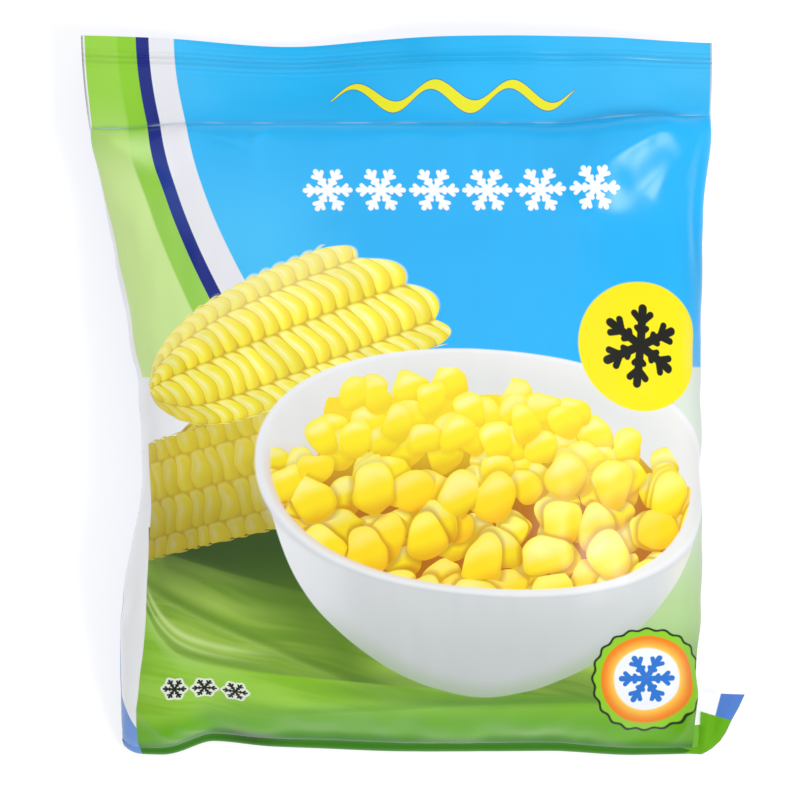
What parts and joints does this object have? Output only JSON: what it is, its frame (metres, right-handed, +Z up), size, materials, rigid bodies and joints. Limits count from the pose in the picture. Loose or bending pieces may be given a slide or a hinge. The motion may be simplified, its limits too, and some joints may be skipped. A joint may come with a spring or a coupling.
{
  "type": "frozen vegetable bag",
  "caption": "Filled pillow bag of printed film for frozen vegetables, lying on its back, with a flat header seal at one end and the foot seal folded under the other.",
  "frame": {"origin": "middle of the pack's box, on the surface that the pack lies on", "axes": "+Z up out of the printed front, +Y along the bag towards its header, +X to the right of the print"},
  "size_m": [0.1963, 0.2132, 0.0495],
  "materials": {
    "printed_film": "satin to gloss printed polyethylene film"
  },
  "bodies": {
    "root": {"bag": "printed_film"}
  },
  "joints": []
}
